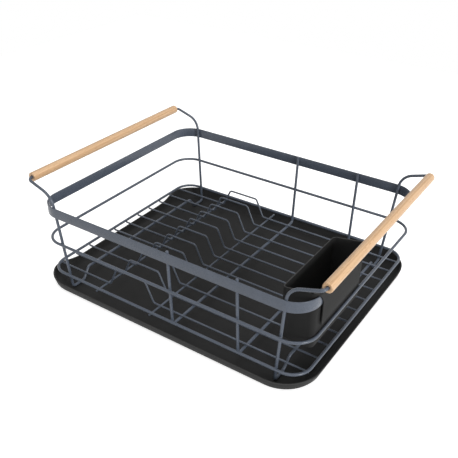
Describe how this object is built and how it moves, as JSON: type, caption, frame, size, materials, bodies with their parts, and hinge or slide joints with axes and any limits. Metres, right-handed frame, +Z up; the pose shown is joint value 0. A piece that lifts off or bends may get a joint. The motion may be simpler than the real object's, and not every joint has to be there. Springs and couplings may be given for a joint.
{
  "type": "dish drainer",
  "caption": "Wire dish drainer basket with plate dividers, a rim band, wooden grips and a hanging utensil caddy, standing in a shallow drip tray.",
  "frame": {"origin": "on the worktop, below the middle of the basket; the drip tray lies 1.9 mm off it towards the left end", "axes": "+X along the long side towards the end where the utensil caddy hangs, +Y towards the back, +Z up"},
  "size_m": [0.479, 0.371, 0.1772],
  "materials": {
    "coated_steel": "fine satin powder coat in dark blue grey",
    "black_plastic": "smooth matt moulded plastic",
    "beech": "sanded pale beech with fine straight grain"
  },
  "bodies": {
    "tray": {"drip_tray": "black_plastic"},
    "basket": {"base_ring": "coated_steel", "middle_ring": "coated_steel", "rim_band": "coated_steel", "left_end_frame": "coated_steel", "right_end_frame": "coated_steel", "middle_frame_1": "coated_steel", "middle_frame_2": "coated_steel", "floor_wire_01": "coated_steel", "floor_wire_02": "coated_steel", "floor_wire_03": "coated_steel", "floor_wire_04": "coated_steel", "floor_wire_05": "coated_steel", "floor_wire_06": "coated_steel", "floor_wire_07": "coated_steel", "floor_wire_08": "coated_steel", "floor_wire_09": "coated_steel", "floor_wire_10": "coated_steel", "floor_wire_11": "coated_steel", "cross_wire_1": "coated_steel", "cross_wire_2": "coated_steel"},
    "caddy": {"utensil_caddy": "black_plastic"},
    "grip_at_left": {"left_grip": "beech"},
    "grip_at_right": {"right_grip": "beech"}
  },
  "joints": [
    {"name": "basket_lift", "type": "slide", "parent": "tray", "child": "basket", "axis": [0, 0, 1], "range_m": [0, 0.06]},
    {"name": "caddy_lift", "type": "slide", "parent": "basket", "child": "caddy", "axis": [0, 0, 1], "range_m": [0, 0.09]},
    {"name": "left_grip_turn", "type": "hinge", "parent": "basket", "child": "grip_at_left", "pos_m": [-0.2328, 0, 0.1705], "axis": [0, 1, 0], "continuous": true},
    {"name": "right_grip_turn", "type": "hinge", "parent": "basket", "child": "grip_at_right", "pos_m": [0.2328, 0, 0.1705], "axis": [0, 1, 0], "continuous": true}
  ]
}
